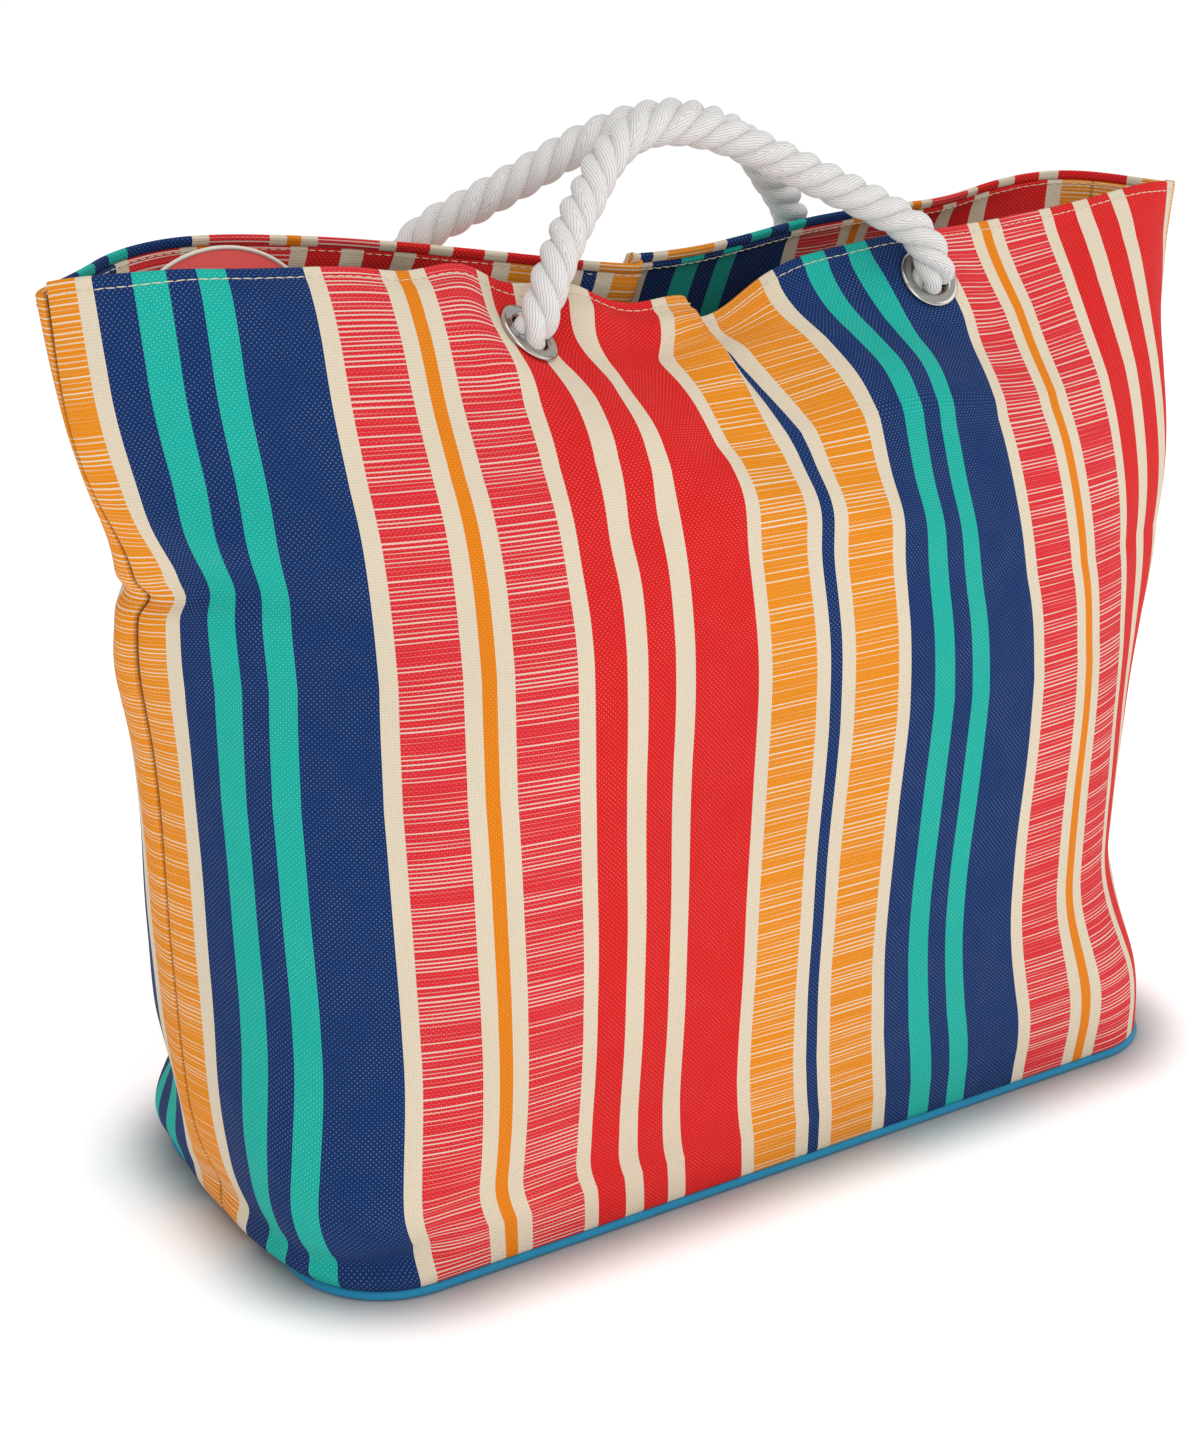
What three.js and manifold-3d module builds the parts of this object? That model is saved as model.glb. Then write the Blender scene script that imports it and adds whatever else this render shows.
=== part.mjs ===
// A striped canvas beach bag with two rope handles, in millimetres.
// +X runs along the bag, -Y to its front and +Z up. The origin is on the floor under the base's centre.
import * as THREE from 'three';
import { mergeVertices } from 'three/addons/utils/BufferGeometryUtils.js';
import Module from 'manifold-3d';

const wasm = await Module();
wasm.setup();

// Driving dimensions
const BASE_LENGTH = 504;
const BASE_WIDTH = 220;
const BASE_CORNER = 48;
const CLOTH_WIDTH = 676; // one body panel between its two side seams
const CLOTH_HEIGHT = 458; // one body panel from the base piping to the rim
const CLOTH_THICKNESS = 1.5;
const LINING_THICKNESS = 1;
const GAP = 0.3;
const PIPING_DIAMETER = 4.4;
const BOARD_THICKNESS = 3;
const FACING_DEPTH = 70;

const ROPE_DIAMETER = 18;
const HANDLE_SPAN = 237; // between a panel's two eyelets, along the cloth
const EYELET_BELOW_RIM = { front: 25, back: 44 };
const EYELET_HOLE = 19;
const EYELET_BARREL = 21.4;
const EYELET_OUTSIDE = 31;
const EYELET_STANDOFF = 0.6;
const ROPE_REACH = 13; // from the cloth to the handle's turning axis
const KNOT_DIAMETER = 32;
const TAIL_LENGTH = 26;
const HANDLE_LEAN = { front: 31, back: -24 }; // degrees from upright, leaning in over the mouth

const POUCH_WIDTH = 82;
const POUCH_ROUNDNESS = 0.82; // height over width
const POUCH_THICKNESS = 1.2;
const BINDING_DIAMETER = 3;

// How the standing bag is shaped: each list holds [height fraction, value] pairs
const LEFT_SEAM_X = [
  [0, -252], [0.1, -266], [0.3, -272], [0.5, -275],
  [0.62, -282], [0.75, -294], [0.88, -308], [1, -313],
];
const LEFT_SEAM_Y = [[0, -4], [0.5, -8], [0.75, -14], [1, -6]];
const RIGHT_SEAM_X = [
  [0, 252], [0.2, 247], [0.35, 252], [0.5, 259],
  [0.62, 267], [0.75, 280], [0.88, 298], [1, 308],
];
const RIGHT_SEAM_Y = [[0, -4], [0.5, -8], [0.75, -15], [1, -8]];
const FRONT_Y = [
  [0, -110], [0.1, -117], [0.22, -120], [0.5, -123],
  [0.61, -122], [0.74, -107], [0.87, -70], [1, -32],
];
const BACK_Y = [[0, 110], [0.1, 114], [0.22, 116], [0.5, 114], [0.61, 110], [0.74, 97], [0.87, 76], [1, 53]];
// The angle of each panel's edge from +X, and the length of cloth that then bends round to +X
const SEAM_ANGLE = [[0, 90], [0.3, 86], [0.6, 80], [0.75, 66], [0.87, 54], [1, 48]];
const CORNER_BEND = [
  [0, 75], [0.1, 100], [0.25, 210], [0.5, 255],
  [0.61, 280], [0.74, 340], [0.87, 230], [1, 60],
];
const CORNER_FADE = [[0, 1], [0.12, 1.3], [0.28, 2], [1, 2]];
// Soft folds: where they sit across the cloth, half width, push along +Y, and where they fade in
const FRONT_FOLDS = [
  { across: 332, halfWidth: 28, push: 22, from: 0.8, to: 1 },
  { across: 236, halfWidth: 60, push: 3, from: 0.7, to: 1 },
  { across: 150, halfWidth: 60, push: -4, from: 0.7, to: 1 },
  { across: 456, halfWidth: 60, push: -4, from: 0.7, to: 1 },
];
const BACK_FOLDS = [
  { across: 334, halfWidth: 110, push: -36, from: 0.5, to: 1 },
  { across: 476, halfWidth: 120, push: -20, from: 0.5, to: 1 },
];
// Creases across each end take up some of the cloth's height
const CREASE = { height: 0.58, spread: 0.1, halfWidth: 62, takes: 13 };

const smooth = (f) => THREE.MathUtils.smoothstep(f, 0, 1);

// A smooth curve through [position, value] pairs
function profile(at, pairs) {
  const last = pairs.length - 1;
  const u = THREE.MathUtils.clamp(at, pairs[0][0], pairs[last][0]);
  let i = 0;
  while (i < last - 1 && u > pairs[i + 1][0]) i += 1;
  const slope = (k) => {
    const a = pairs[Math.max(k - 1, 0)];
    const b = pairs[Math.min(k + 1, last)];
    return (b[1] - a[1]) / (b[0] - a[0]);
  };
  const step = pairs[i + 1][0] - pairs[i][0];
  const f = (u - pairs[i][0]) / step;
  const f2 = f * f;
  const f3 = f2 * f;
  return (2 * f3 - 3 * f2 + 1) * pairs[i][1] + (f3 - 2 * f2 + f) * slope(i) * step
    + (3 * f2 - 2 * f3) * pairs[i + 1][1] + (f3 - f2) * slope(i + 1) * step;
}

// The outline of one panel at one height: the cloth keeps its width, so a slope across it shortens it in X
const SAMPLES = 168;
function sectionOf(side, height) {
  const front = side === 'front';
  const left = new THREE.Vector2(profile(height, LEFT_SEAM_X), profile(height, LEFT_SEAM_Y));
  const right = new THREE.Vector2(profile(height, RIGHT_SEAM_X), profile(height, RIGHT_SEAM_Y));
  const faceY = profile(height, front ? FRONT_Y : BACK_Y);
  const outward = front ? -1 : 1;
  const bend = profile(height, CORNER_BEND);
  const seamAngle = THREE.MathUtils.degToRad(profile(height, SEAM_ANGLE));
  const fade = profile(height, CORNER_FADE);
  let reach = 0;
  for (let k = 0.5; k < 24; k += 1) reach += Math.sin(seamAngle * (1 - k / 24) ** fade) / 24;
  const corner = (depth, fromSeam) => {
    const length = Math.min(bend, depth / reach);
    const straight = Math.max(0, (depth - length * reach) / Math.sin(seamAngle));
    return seamAngle * (1 - THREE.MathUtils.clamp((fromSeam - straight) / length, 0, 1)) ** fade;
  };
  const folds = front ? FRONT_FOLDS : BACK_FOLDS;
  const step = CLOTH_WIDTH / SAMPLES;
  const xs = [0];
  const ys = [0];
  for (let i = 0; i < SAMPLES; i += 1) {
    const s = (i + 0.5) * step;
    const turn = corner(Math.abs(faceY - left.y), s) - corner(Math.abs(faceY - right.y), CLOTH_WIDTH - s);
    let slope = outward * Math.sin(turn);
    for (const fold of folds) {
      const q = (s - fold.across) / fold.halfWidth;
      const amount = smooth((height - fold.from) / (fold.to - fold.from));
      slope += amount * fold.push * (-2 * q / fold.halfWidth) * Math.exp(-q * q);
    }
    slope = THREE.MathUtils.clamp(slope, -0.99999, 0.99999);
    xs.push(xs[i] + step * Math.sqrt(1 - slope * slope));
    ys.push(ys[i] + step * slope);
  }
  const stretch = (right.x - left.x) / xs[SAMPLES];
  const drift = right.y - left.y - ys[SAMPLES];
  return xs.map((x, i) => new THREE.Vector2(left.x + x * stretch, left.y + ys[i] + drift * i / SAMPLES));
}

// The whole standing panel: the cloth also keeps its height, so leaning in lowers it
const ROWS = 60;
function standingPanel(side) {
  const rise = CLOTH_HEIGHT / ROWS;
  const creaseRate = CREASE.takes / (CREASE.spread * Math.sqrt(Math.PI) * CLOTH_HEIGHT);
  const rows = [];
  for (let r = 0; r <= ROWS; r += 1) {
    const section = sectionOf(side, r / ROWS);
    const below = rows[r - 1];
    rows.push(section.map((p, i) => {
      if (!below) return new THREE.Vector3(p.x, p.y, PIPING_DIAMETER + GAP);
      const dx = p.x - below[i].x;
      const dy = p.y - below[i].y;
      const fromSeam = Math.min(i, SAMPLES - i) / SAMPLES * CLOTH_WIDTH / CREASE.halfWidth;
      const fromCrease = (r / ROWS - CREASE.height) / CREASE.spread;
      const taken = creaseRate * Math.exp(-fromSeam * fromSeam - fromCrease * fromCrease);
      const length = rise * (1 - taken);
      const dz = Math.sqrt(Math.max(length * length - dx * dx - dy * dy, length * length / 25));
      return new THREE.Vector3(p.x, p.y, below[i].z + dz);
    }));
  }
  return rows;
}

const PANELS = { front: standingPanel('front'), back: standingPanel('back') };

// The point of the cloth at a distance across it from the left seam and up it from the base
function rawPoint(side, across, up) {
  const rows = PANELS[side];
  const c = THREE.MathUtils.clamp(across / CLOTH_WIDTH * SAMPLES, 0, SAMPLES - 1e-6);
  const r = THREE.MathUtils.clamp(up / CLOTH_HEIGHT * ROWS, 0, ROWS - 1e-6);
  const i = Math.floor(c);
  const j = Math.floor(r);
  const low = rows[j][i].clone().lerp(rows[j][i + 1], c - i);
  const high = rows[j + 1][i].clone().lerp(rows[j + 1][i + 1], c - i);
  return low.lerp(high, r - j);
}

// The cloth's own directions at a point: across to +X, and out of the bag
function clothFrame(side, across, up, point) {
  const h = 4;
  const t = point(side, across + h, up).sub(point(side, across - h, up)).normalize();
  const b = point(side, across, up + h).sub(point(side, across, up - h)).normalize();
  const out = t.clone().cross(b).normalize();
  if (side === 'back') out.negate();
  return { origin: point(side, across, up), out };
}

// The four eyelets, each with its centre on the cloth and the direction out of the bag
const EYELETS = [];
for (const side of ['front', 'back']) {
  for (const [name, half] of [['left', -0.5], ['right', 0.5]]) {
    const across = CLOTH_WIDTH / 2 + half * HANDLE_SPAN;
    const up = CLOTH_HEIGHT - EYELET_BELOW_RIM[side];
    EYELETS.push({ side, name: `${side}_${name}`, ...clothFrame(side, across, up, rawPoint) });
  }
}

// The cloth lies flat around each eyelet
const FLAT_RADIUS = 30;
const FLAT_FADE = 34;
function clothPoint(side, across, up) {
  const p = rawPoint(side, across, up);
  for (const eyelet of EYELETS) {
    if (eyelet.side === side) {
      const offset = p.clone().sub(eyelet.origin);
      const weight = 1 - smooth((offset.length() - FLAT_RADIUS) / FLAT_FADE);
      p.addScaledVector(eyelet.out, -weight * offset.dot(eyelet.out));
    }
  }
  return p;
}

// A closed sheet between two depths under the cloth's outer face
function sheetGeometry(side, columns, rows, outer, inner) {
  const front = side === 'front';
  const inward = (i, s, v) => {
    if (i === 0 || i === columns) {
      const spread = Math.sin(THREE.MathUtils.degToRad(profile(v / CLOTH_HEIGHT, SEAM_ANGLE)));
      return new THREE.Vector3((i === 0 ? 1 : -1) / spread, 0, 0);
    }
    return clothFrame(side, s, v, clothPoint).out.negate();
  };
  const points = [];
  for (const depth of [outer, inner]) {
    for (const v of rows) {
      for (let i = 0; i <= columns; i += 1) {
        const s = THREE.MathUtils.lerp(GAP, CLOTH_WIDTH - GAP, i / columns);
        const p = clothPoint(side, s, v).addScaledVector(inward(i, s, v), depth);
        points.push(p.x, p.y, p.z);
      }
    }
  }
  const wide = columns + 1;
  const layer = wide * rows.length;
  const faces = [];
  const quad = (a, b, c, d) => {
    if (front) faces.push(a, b, c, a, c, d);
    else faces.push(a, c, b, a, d, c);
  };
  for (let r = 0; r < rows.length - 1; r += 1) {
    for (let i = 0; i < columns; i += 1) {
      const a = r * wide + i;
      quad(a, a + 1, a + wide + 1, a + wide);
      quad(layer + a, layer + a + wide, layer + a + wide + 1, layer + a + 1);
    }
    const left = r * wide;
    const right = left + columns;
    quad(layer + left, left, left + wide, layer + left + wide);
    quad(right, layer + right, layer + right + wide, right + wide);
  }
  const top = (rows.length - 1) * wide;
  for (let i = 0; i < columns; i += 1) {
    quad(layer + i, layer + i + 1, i + 1, i);
    quad(top + i, top + i + 1, layer + top + i + 1, layer + top + i);
  }
  const geometry = new THREE.BufferGeometry();
  geometry.setAttribute('position', new THREE.Float32BufferAttribute(points, 3));
  geometry.setIndex(faces);
  return geometry;
}

function toSolid(geometry) {
  const bare = geometry.clone();
  bare.deleteAttribute('normal');
  bare.deleteAttribute('uv');
  const merged = mergeVertices(bare);
  return new wasm.Manifold(new wasm.Mesh({
    numProp: 3,
    vertProperties: new Float32Array(merged.attributes.position.array),
    triVerts: new Uint32Array(merged.index.array),
  }));
}

function toGeometry(solid) {
  const mesh = solid.getMesh();
  const geometry = new THREE.BufferGeometry();
  geometry.setAttribute('position', new THREE.Float32BufferAttribute(mesh.vertProperties, 3));
  geometry.setIndex(Array.from(mesh.triVerts));
  return geometry;
}

// Turns a shape built along +Z to a direction and moves it to a point
function aimed(geometry, origin, direction) {
  const turn = new THREE.Quaternion().setFromUnitVectors(new THREE.Vector3(0, 0, 1), direction);
  return geometry.applyQuaternion(turn).translate(origin.x, origin.y, origin.z);
}

// A turned shape about +Z, from [radius, height] pairs
function turned(pairs, segments) {
  const outline = pairs.map(([radius, height]) => new THREE.Vector2(radius, height));
  return new THREE.LatheGeometry(outline, segments).rotateX(Math.PI / 2);
}

const ROUND_STEPS = 16;
function withEyeletHoles(side, geometry) {
  const radius = EYELET_BARREL / 2 + GAP;
  let solid = toSolid(geometry);
  for (const eyelet of EYELETS) {
    if (eyelet.side === side) {
      const punch = new THREE.CylinderGeometry(radius, radius, 24, ROUND_STEPS);
      solid = solid.subtract(toSolid(aimed(punch.rotateX(Math.PI / 2), eyelet.origin, eyelet.out)));
    }
  }
  return toGeometry(solid);
}

const cloth = (color) => new THREE.MeshStandardMaterial({ color, roughness: 0.85, metalness: 0 });
const canvas = cloth('#1f3f70');
const coral = cloth('#d8414a');
const cream = cloth('#e9dcc2');
const pipingCloth = cloth('#0c8ab0');
const cardboard = cloth('#8a8378');
const rope = cloth('#efedea');
const nickel = new THREE.MeshStandardMaterial({ color: '#c4c2be', roughness: 0.25, metalness: 1 });

const bag = new THREE.Group();
function add(name, geometry, material) {
  const mesh = new THREE.Mesh(geometry, material);
  mesh.name = name;
  bag.add(mesh);
}

// Body panels with the facing folded inside the rim and the lining below it
const PANEL_ROWS = [0, 8, 30, 75, 130, 190, 245, 295, 334, 366, 388, 410, 438, CLOTH_HEIGHT];
const LINING_ROWS = [...PANEL_ROWS.slice(1, 10), CLOTH_HEIGHT - FACING_DEPTH - GAP];
const FACING_ROWS = [CLOTH_HEIGHT - FACING_DEPTH, 410, 438, CLOTH_HEIGHT - 1];
const COLUMNS = 28;
const underPanel = CLOTH_THICKNESS + 2 * GAP;
const underFacing = underPanel + LINING_THICKNESS;
for (const side of ['front', 'back']) {
  const panel = sheetGeometry(side, COLUMNS, PANEL_ROWS, 0, CLOTH_THICKNESS);
  const facing = sheetGeometry(side, COLUMNS, FACING_ROWS, underPanel, underFacing);
  const lining = sheetGeometry(side, COLUMNS, LINING_ROWS, underPanel, underFacing);
  add(`${side}_panel`, withEyeletHoles(side, panel), canvas);
  add(`${side}_facing`, withEyeletHoles(side, facing), canvas);
  add(`${side}_lining`, lining, cream);
}

// The base: cloth, a stiff board on it, a lining over the board, and piping round the edge
const CORNER_STEPS = 4;
function baseOutline(inset) {
  const x = BASE_LENGTH / 2 - inset;
  const y = BASE_WIDTH / 2 - inset;
  const r = BASE_CORNER - inset;
  const outline = new THREE.Shape();
  outline.absarc(x - r, y - r, r, 0, Math.PI / 2);
  outline.absarc(r - x, y - r, r, Math.PI / 2, Math.PI);
  outline.absarc(r - x, r - y, r, Math.PI, 1.5 * Math.PI);
  outline.absarc(x - r, r - y, r, 1.5 * Math.PI, 2 * Math.PI);
  outline.closePath();
  return outline;
}
function basePlate(inset, bottom, thickness) {
  const plate = new THREE.ExtrudeGeometry(baseOutline(inset), {
    depth: thickness,
    bevelEnabled: false,
    curveSegments: CORNER_STEPS,
  });
  return plate.translate(0, 0, bottom);
}
const PIPING_INSET = 3.2;
const PIPING_BEVEL = 1.2;
const pipingRing = baseOutline(0);
pipingRing.holes.push(baseOutline(PIPING_INSET - PIPING_BEVEL));
const piping = new THREE.ExtrudeGeometry(pipingRing, {
  depth: PIPING_DIAMETER - 2 * PIPING_BEVEL,
  bevelThickness: PIPING_BEVEL,
  bevelSize: PIPING_BEVEL,
  bevelSegments: 1,
  curveSegments: CORNER_STEPS,
});
const plateInset = PIPING_INSET + GAP;
const boardBottom = CLOTH_THICKNESS + GAP;
const baseLiningBottom = boardBottom + BOARD_THICKNESS + GAP;
add('base_panel', basePlate(plateInset, 0, CLOTH_THICKNESS), canvas);
add('base_piping', piping.translate(0, 0, PIPING_BEVEL), pipingCloth);
add('base_board', basePlate(plateInset + 1, boardBottom, BOARD_THICKNESS), cardboard);
add('base_lining', basePlate(plateInset + 1, baseLiningBottom, LINING_THICKNESS), cream);

// Eyelets: a flanged barrel from outside and a flat washer inside
const barrelRadius = EYELET_BARREL / 2;
const flangeRadius = EYELET_OUTSIDE / 2;
const holeRadius = EYELET_HOLE / 2;
const clothStack = underFacing;
const washerTop = -clothStack - EYELET_STANDOFF;
const flangeTop = EYELET_STANDOFF + 1.8;
const eyeletOutline = [
  [holeRadius, washerTop - 2.4],
  [barrelRadius, washerTop - 2.4],
  [barrelRadius, EYELET_STANDOFF],
  [flangeRadius, EYELET_STANDOFF],
  [flangeRadius - 1, flangeTop - 0.4],
  [flangeRadius - 2.6, flangeTop],
  [holeRadius + 0.9, flangeTop - 0.3],
  [holeRadius, flangeTop - 1.4],
  [holeRadius, washerTop - 2.4],
];
const washerOutline = [
  [barrelRadius + GAP, washerTop - 1.2],
  [flangeRadius, washerTop - 1.2],
  [flangeRadius, washerTop],
  [barrelRadius + GAP, washerTop],
  [barrelRadius + GAP, washerTop - 1.2],
];

// Each rope end passes through its eyelet and stops in a knot with a short tail inside
const ropeRadius = ROPE_DIAMETER / 2;
const stubOutside = ROPE_REACH - ropeRadius - GAP;
const stubInside = -7;
const KNOT_GAP = 5;
const knotRadius = KNOT_DIAMETER / 2;
const knotOutline = [[0, 0]];
for (let i = 1; i <= 6; i += 1) {
  const angle = Math.PI * i / 8;
  knotOutline.push([knotRadius * Math.sin(angle), knotRadius * 0.85 * (1 - Math.cos(angle))]);
}
knotOutline.push([ropeRadius, knotRadius * 1.62]);
knotOutline.push([ropeRadius * 1.1, knotRadius * 1.62 + TAIL_LENGTH]);
knotOutline.push([0, knotRadius * 1.62 + TAIL_LENGTH + 2]);
const DOWN = new THREE.Vector3(0, 0, -1);
for (const eyelet of EYELETS) {
  const stub = new THREE.CylinderGeometry(ropeRadius, ropeRadius, stubOutside - stubInside, 12);
  stub.rotateX(Math.PI / 2).translate(0, 0, (stubOutside + stubInside) / 2);
  const knotTop = eyelet.origin.clone().addScaledVector(eyelet.out, stubInside - KNOT_GAP);
  const hang = DOWN.clone().addScaledVector(eyelet.out, -0.45).normalize();
  add(`${eyelet.name}_eyelet`, aimed(turned(eyeletOutline, ROUND_STEPS), eyelet.origin, eyelet.out), nickel);
  add(`${eyelet.name}_washer`, aimed(turned(washerOutline, ROUND_STEPS), eyelet.origin, eyelet.out), nickel);
  add(`${eyelet.name}_rope_end`, aimed(stub, eyelet.origin, eyelet.out), rope);
  add(`${eyelet.name}_knot`, aimed(turned(knotOutline, 12), knotTop, hang), rope);
}

// Handles: [along, above] from the middle of each turning axis, in the plane of the standing handle
const HANDLE_ROUTES = {
  front: [
    [-98, 18], [-83, 37], [-68, 53], [-55, 67], [-38, 78], [-18, 81],
    [6, 76], [32, 62], [62, 44], [86, 29], [101, 15],
  ],
  back: [
    [-106, 20], [-95, 33], [-78, 43], [-54, 57], [-28, 73], [-4, 83],
    [20, 86], [45, 80], [66, 69], [83, 52], [98, 36], [107, 20],
  ],
};
const ROPE_SIDES = 5; // per half turn
const ROPE_STEPS = 26;
const ropeSection = new THREE.Shape();
ropeSection.absarc(0, 0, ropeRadius, 0, 2 * Math.PI);
for (const side of ['front', 'back']) {
  const [left, right] = EYELETS.filter((eyelet) => eyelet.side === side)
    .map((eyelet) => eyelet.origin.clone().addScaledVector(eyelet.out, ROPE_REACH));
  const middle = left.clone().lerp(right, 0.5);
  const along = right.clone().sub(left).normalize();
  const lean = THREE.MathUtils.degToRad(HANDLE_LEAN[side]);
  const above = new THREE.Vector3(0, Math.sin(lean), Math.cos(lean));
  above.addScaledVector(along, -above.dot(along)).normalize();
  const place = ([u, w]) => middle.clone().addScaledVector(along, u).addScaledVector(above, w);
  const points = [left, ...HANDLE_ROUTES[side].map(place), right];
  const route = new THREE.CatmullRomCurve3(points, false, 'centripetal');
  const handle = new THREE.ExtrudeGeometry(ropeSection, {
    steps: ROPE_STEPS,
    curveSegments: ROPE_SIDES,
    extrudePath: route,
  });
  add(`${side}_rope_handle`, handle, rope);
}

// An oval inner pouch at the left end: a coral leaf in front of a canvas leaf, each with a bound edge
const LEAF_STEPS = 8;
const bindingBevel = BINDING_DIAMETER / 4;
function leafOutline(halfWidth, inset) {
  const outline = new THREE.Shape();
  outline.absellipse(0, 0, halfWidth - inset, halfWidth * POUCH_ROUNDNESS - inset, 0, 2 * Math.PI);
  return outline;
}
const POUCH_LEAVES = [
  { name: 'pouch_front', material: coral, halfWidth: POUCH_WIDTH / 2, x: -225, y: 24, z: 413 },
  { name: 'pouch_back', material: canvas, halfWidth: POUCH_WIDTH / 2 - 6, x: -232, y: 30, z: 410 },
];
for (const { name, material, halfWidth, x, y, z } of POUCH_LEAVES) {
  const leaf = new THREE.ExtrudeGeometry(leafOutline(halfWidth, BINDING_DIAMETER + GAP), {
    depth: POUCH_THICKNESS,
    bevelEnabled: false,
    curveSegments: LEAF_STEPS,
  });
  const ring = leafOutline(halfWidth, bindingBevel);
  ring.holes.push(leafOutline(halfWidth, BINDING_DIAMETER - bindingBevel));
  const binding = new THREE.ExtrudeGeometry(ring, {
    depth: BINDING_DIAMETER - 2 * bindingBevel,
    bevelThickness: bindingBevel,
    bevelSize: bindingBevel,
    bevelSegments: 1,
    curveSegments: LEAF_STEPS,
  });
  leaf.translate(0, 0, -POUCH_THICKNESS / 2);
  binding.translate(0, 0, bindingBevel - BINDING_DIAMETER / 2);
  add(name, leaf.rotateX(Math.PI / 2).translate(x, y, z), material);
  add(`${name}_binding`, binding.rotateX(Math.PI / 2).translate(x, y, z), cream);
}

export default bag;
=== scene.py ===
"""A striped canvas beach bag with two twisted rope handles, standing on a pale floor."""
import math

import bpy
import numpy as np
from mathutils import Matrix, Vector


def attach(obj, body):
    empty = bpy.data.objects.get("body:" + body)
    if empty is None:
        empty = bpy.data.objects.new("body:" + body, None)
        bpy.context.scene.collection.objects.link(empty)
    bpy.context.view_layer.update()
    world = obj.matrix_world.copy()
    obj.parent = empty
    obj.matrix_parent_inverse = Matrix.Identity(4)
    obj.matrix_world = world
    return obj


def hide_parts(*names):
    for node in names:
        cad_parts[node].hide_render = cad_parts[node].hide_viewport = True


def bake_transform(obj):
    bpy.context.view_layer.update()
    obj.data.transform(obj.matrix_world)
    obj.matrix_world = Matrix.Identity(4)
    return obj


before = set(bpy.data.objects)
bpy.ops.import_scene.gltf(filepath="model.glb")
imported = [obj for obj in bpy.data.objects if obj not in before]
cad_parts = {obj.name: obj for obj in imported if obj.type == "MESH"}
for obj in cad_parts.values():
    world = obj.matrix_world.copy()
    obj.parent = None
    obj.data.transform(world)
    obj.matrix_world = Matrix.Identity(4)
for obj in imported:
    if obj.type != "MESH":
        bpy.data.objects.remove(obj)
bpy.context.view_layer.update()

MM = 0.001  # every size below is in millimetres, and becomes metres when a mesh is made
UP = np.array([0.0, 0.0, 1.0])

# Sizes of the bag
BASE_LENGTH = 504
BASE_WIDTH = 220
BASE_CORNER = 48
CLOTH_WIDTH = 676  # one body panel between its two side seams
CLOTH_HEIGHT = 458  # one body panel from the base piping to the rim
PIPING_DIAMETER = 4.4
PIPING_INSET = 1.0
CLOTH_GAP = 0.3
FACING_DEPTH = 70
FACING_SHIFT = 41  # the facing's stripes sit this far left of the panel's
ROLL_RADIUS = 1.6  # the outer cloth turns in over the rim
ROLL_DEPTH = 4.5
STITCH_BELOW_RIM = 5.2
ROPE_REACH = 13
ROPE_PITCH = 37  # one full twist of the rope
HANDLE_SPAN = 237
EYELET_BELOW_RIM = {"front": 25, "back": 44}
EYELET_HOLE = 19
EYELET_BARREL = 21.4
EYELET_OUTSIDE = 31
HANDLE_LEAN = {"front": 31, "back": -24}
# How far the cloth's slack turns an eyelet, in degrees: (to the right, up)
EYELET_TURNS = {"front_left": (15, 10)}
KNOT_DIAMETER = 32
TAIL_LENGTH = 26

# How the standing bag is shaped: each list holds (height fraction, value) pairs
LEFT_SEAM_X = [
    (0, -252), (0.1, -266), (0.3, -272), (0.5, -275),
    (0.62, -282), (0.75, -294), (0.88, -308), (1, -313),
]
LEFT_SEAM_Y = [(0, -4), (0.5, -8), (0.75, -14), (1, -6)]
RIGHT_SEAM_X = [
    (0, 252), (0.2, 247), (0.35, 252), (0.5, 259),
    (0.62, 267), (0.75, 280), (0.88, 298), (1, 308),
]
RIGHT_SEAM_Y = [(0, -4), (0.5, -8), (0.75, -15), (1, -8)]
FRONT_Y = [
    (0, -110), (0.1, -117), (0.22, -120), (0.5, -123),
    (0.61, -122), (0.74, -107), (0.87, -70), (1, -32),
]
BACK_Y = [
    (0, 110), (0.1, 114), (0.22, 116), (0.5, 114),
    (0.61, 110), (0.74, 97), (0.87, 76), (1, 53),
]
SEAM_ANGLE = [(0, 90), (0.3, 86), (0.6, 80), (0.75, 66), (0.87, 54), (1, 48)]
CORNER_BEND = [
    (0, 75), (0.1, 100), (0.25, 210), (0.5, 255),
    (0.61, 280), (0.74, 340), (0.87, 230), (1, 60),
]
CORNER_FADE = [(0, 1), (0.12, 1.3), (0.28, 2), (1, 2)]
CREASE_HEIGHT = 0.58
CREASE_SPREAD = 0.1
CREASE_WIDTH = 62
CREASE_TAKES = 13

# Soft folds near the rim: (across, half width, push along +Y, height fraction where it starts)
SOFT_FOLDS = {
    "front": [(236, 60, 3, 0.7), (150, 60, -4, 0.7), (456, 60, -4, 0.7)],
    "back": [(334, 110, -36, 0.5), (476, 120, -20, 0.5)],
}
PLAIN_TUCK = (332, 28, 22, 0.8)  # stands in for the front pleat where the eyelets are placed
# How the rim rises and sags: (across, half width, height fraction where it starts, lift)
RIM_LIFTS = {
    "front": [
        (195, 80, 0.86, 12), (480, 70, 0.84, 5), (345, 30, 0.9, -18), (278, 36, 0.9, -15),
        (160, 22, 0.9, -5), (214, 26, 0.9, -6), (10, 30, 0.9, 4), (610, 45, 0.9, -6),
    ],
    "back": [(60, 50, 0.8, -6), (245, 130, 0.8, -7), (560, 85, 0.8, -11)],
}
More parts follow.
